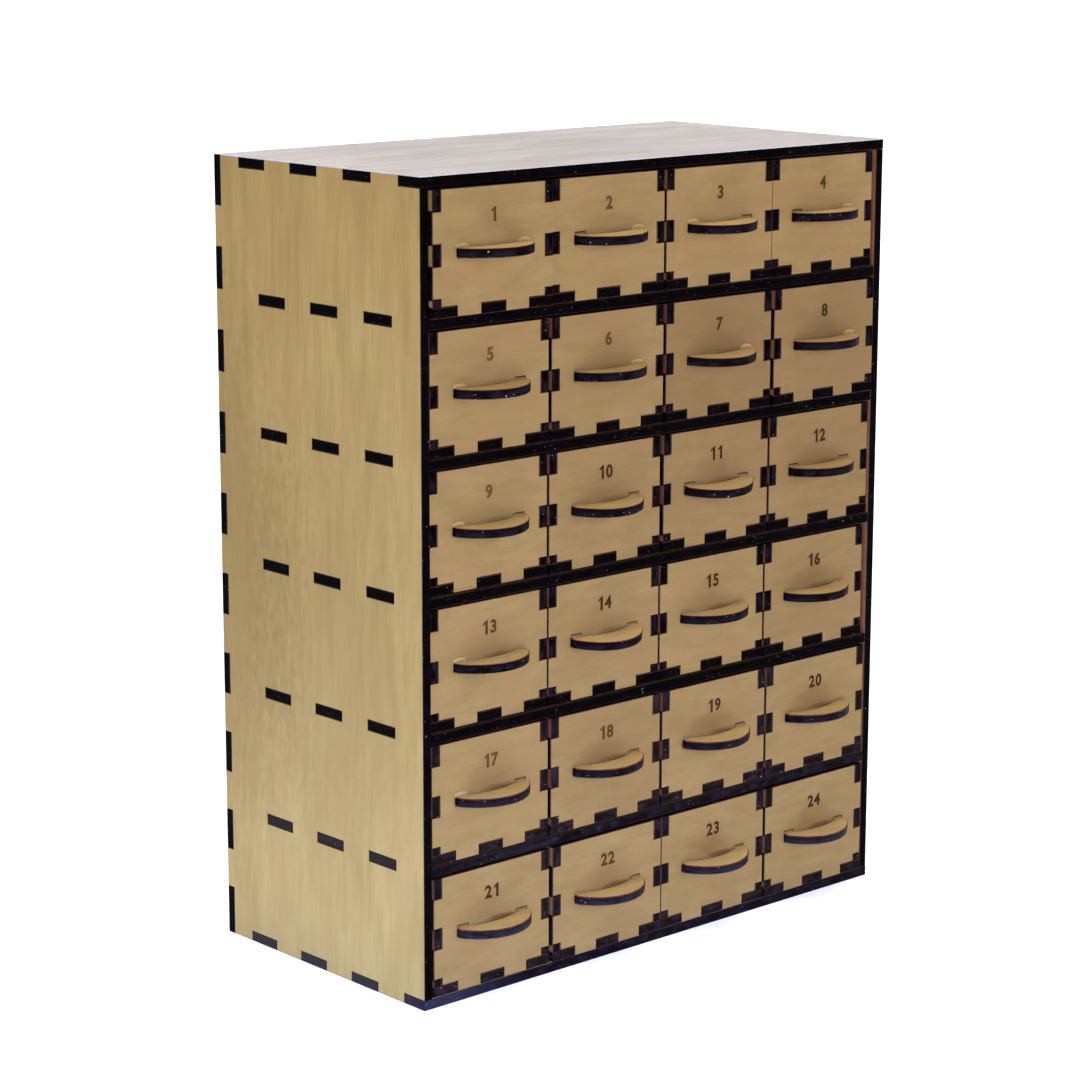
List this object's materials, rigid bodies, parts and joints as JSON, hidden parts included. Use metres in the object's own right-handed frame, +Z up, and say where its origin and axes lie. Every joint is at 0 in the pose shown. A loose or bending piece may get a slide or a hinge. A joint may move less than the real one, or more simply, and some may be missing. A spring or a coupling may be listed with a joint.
{
  "type": "wooden advent calendar",
  "caption": "Upright plywood cabinet with rows of small numbered drawers, finger-jointed corners and half-moon handles.",
  "frame": {"origin": "middle of the cabinet's underside, which is the face that it stands on", "axes": "+Z up, +X to the right as seen from the front, +Y from the drawers' fronts to the back panel"},
  "size_m": [0.248, 0.1378, 0.316],
  "materials": {
    "cabinet_plywood": "satin",
    "drawer_plywood": "satin",
    "handle_plywood": "satin"
  },
  "bodies": {
    "cabinet": {"left_side_panel": "cabinet_plywood", "right_side_panel": "cabinet_plywood", "top_panel": "cabinet_plywood", "bottom_panel": "cabinet_plywood", "back_panel": "cabinet_plywood", "shelf_1": "cabinet_plywood", "shelf_2": "cabinet_plywood", "shelf_3": "cabinet_plywood", "shelf_4": "cabinet_plywood", "shelf_5": "cabinet_plywood"},
    "drawer_01": {"drawer_01_box": "drawer_plywood", "drawer_01_handle": "handle_plywood"},
    "drawer_02": {"drawer_02_box": "drawer_plywood", "drawer_02_handle": "handle_plywood"},
    "drawer_03": {"drawer_03_box": "drawer_plywood", "drawer_03_handle": "handle_plywood"},
    "drawer_04": {"drawer_04_box": "drawer_plywood", "drawer_04_handle": "handle_plywood"},
    "drawer_05": {"drawer_05_box": "drawer_plywood", "drawer_05_handle": "handle_plywood"},
    "drawer_06": {"drawer_06_box": "drawer_plywood", "drawer_06_handle": "handle_plywood"},
    "drawer_07": {"drawer_07_box": "drawer_plywood", "drawer_07_handle": "handle_plywood"},
    "drawer_08": {"drawer_08_box": "drawer_plywood", "drawer_08_handle": "handle_plywood"},
    "drawer_09": {"drawer_09_box": "drawer_plywood", "drawer_09_handle": "handle_plywood"},
    "drawer_10": {"drawer_10_box": "drawer_plywood", "drawer_10_handle": "handle_plywood"},
    "drawer_11": {"drawer_11_box": "drawer_plywood", "drawer_11_handle": "handle_plywood"},
    "drawer_12": {"drawer_12_box": "drawer_plywood", "drawer_12_handle": "handle_plywood"},
    "drawer_13": {"drawer_13_box": "drawer_plywood", "drawer_13_handle": "handle_plywood"},
    "drawer_14": {"drawer_14_box": "drawer_plywood", "drawer_14_handle": "handle_plywood"},
    "drawer_15": {"drawer_15_box": "drawer_plywood", "drawer_15_handle": "handle_plywood"},
    "drawer_16": {"drawer_16_box": "drawer_plywood", "drawer_16_handle": "handle_plywood"},
    "drawer_17": {"drawer_17_box": "drawer_plywood", "drawer_17_handle": "handle_plywood"},
    "drawer_18": {"drawer_18_box": "drawer_plywood", "drawer_18_handle": "handle_plywood"},
    "drawer_19": {"drawer_19_box": "drawer_plywood", "drawer_19_handle": "handle_plywood"},
    "drawer_20": {"drawer_20_box": "drawer_plywood", "drawer_20_handle": "handle_plywood"},
    "drawer_21": {"drawer_21_box": "drawer_plywood", "drawer_21_handle": "handle_plywood"},
    "drawer_22": {"drawer_22_box": "drawer_plywood", "drawer_22_handle": "handle_plywood"},
    "drawer_23": {"drawer_23_box": "drawer_plywood", "drawer_23_handle": "handle_plywood"},
    "drawer_24": {"drawer_24_box": "drawer_plywood", "drawer_24_handle": "handle_plywood"}
  },
  "joints": [
    {"name": "drawer_01_slide", "type": "slide", "parent": "cabinet", "child": "drawer_01", "axis": [0, -1, 0], "range_m": [-0.0035, 0.1]},
    {"name": "drawer_02_slide", "type": "slide", "parent": "cabinet", "child": "drawer_02", "axis": [0, -1, 0], "range_m": [-0.0019, 0.1]},
    {"name": "drawer_03_slide", "type": "slide", "parent": "cabinet", "child": "drawer_03", "axis": [0, -1, 0], "range_m": [-0.0019, 0.1]},
    {"name": "drawer_04_slide", "type": "slide", "parent": "cabinet", "child": "drawer_04", "axis": [0, -1, 0], "range_m": [-0.0013, 0.1]},
    {"name": "drawer_05_slide", "type": "slide", "parent": "cabinet", "child": "drawer_05", "axis": [0, -1, 0], "range_m": [-0.0013, 0.1]},
    {"name": "drawer_06_slide", "type": "slide", "parent": "cabinet", "child": "drawer_06", "axis": [0, -1, 0], "range_m": [-0.0015, 0.1]},
    {"name": "drawer_07_slide", "type": "slide", "parent": "cabinet", "child": "drawer_07", "axis": [0, -1, 0], "range_m": [-0.0019, 0.1]},
    {"name": "drawer_08_slide", "type": "slide", "parent": "cabinet", "child": "drawer_08", "axis": [0, -1, 0], "range_m": [-0.0023, 0.1]},
    {"name": "drawer_09_slide", "type": "slide", "parent": "cabinet", "child": "drawer_09", "axis": [0, -1, 0], "range_m": [-0.0005, 0.1]},
    {"name": "drawer_10_slide", "type": "slide", "parent": "cabinet", "child": "drawer_10", "axis": [0, -1, 0], "range_m": [-0.0009, 0.1]},
    {"name": "drawer_11_slide", "type": "slide", "parent": "cabinet", "child": "drawer_11", "axis": [0, -1, 0], "range_m": [-0.0011, 0.1]},
    {"name": "drawer_12_slide", "type": "slide", "parent": "cabinet", "child": "drawer_12", "axis": [0, -1, 0], "range_m": [-0.0011, 0.1]},
    {"name": "drawer_13_slide", "type": "slide", "parent": "cabinet", "child": "drawer_13", "axis": [0, -1, 0], "range_m": [-0.0007, 0.1]},
    {"name": "drawer_14_slide", "type": "slide", "parent": "cabinet", "child": "drawer_14", "axis": [0, -1, 0], "range_m": [-0.0009, 0.1]},
    {"name": "drawer_15_slide", "type": "slide", "parent": "cabinet", "child": "drawer_15", "axis": [0, -1, 0], "range_m": [-0.0011, 0.1]},
    {"name": "drawer_16_slide", "type": "slide", "parent": "cabinet", "child": "drawer_16", "axis": [0, -1, 0], "range_m": [-0.0013, 0.1]},
    {"name": "drawer_17_slide", "type": "slide", "parent": "cabinet", "child": "drawer_17", "axis": [0, -1, 0], "range_m": [-0.0013, 0.1]},
    {"name": "drawer_18_slide", "type": "slide", "parent": "cabinet", "child": "drawer_18", "axis": [0, -1, 0], "range_m": [-0.0017, 0.1]},
    {"name": "drawer_19_slide", "type": "slide", "parent": "cabinet", "child": "drawer_19", "axis": [0, -1, 0], "range_m": [-0.0017, 0.1]},
    {"name": "drawer_20_slide", "type": "slide", "parent": "cabinet", "child": "drawer_20", "axis": [0, -1, 0], "range_m": [-0.0019, 0.1]},
    {"name": "drawer_21_slide", "type": "slide", "parent": "cabinet", "child": "drawer_21", "axis": [0, -1, 0], "range_m": [-0.0019, 0.1]},
    {"name": "drawer_22_slide", "type": "slide", "parent": "cabinet", "child": "drawer_22", "axis": [0, -1, 0], "range_m": [-0.0023, 0.1]},
    {"name": "drawer_23_slide", "type": "slide", "parent": "cabinet", "child": "drawer_23", "axis": [0, -1, 0], "range_m": [-0.0021, 0.1]},
    {"name": "drawer_24_slide", "type": "slide", "parent": "cabinet", "child": "drawer_24", "axis": [0, -1, 0], "range_m": [-0.0023, 0.1]}
  ]
}
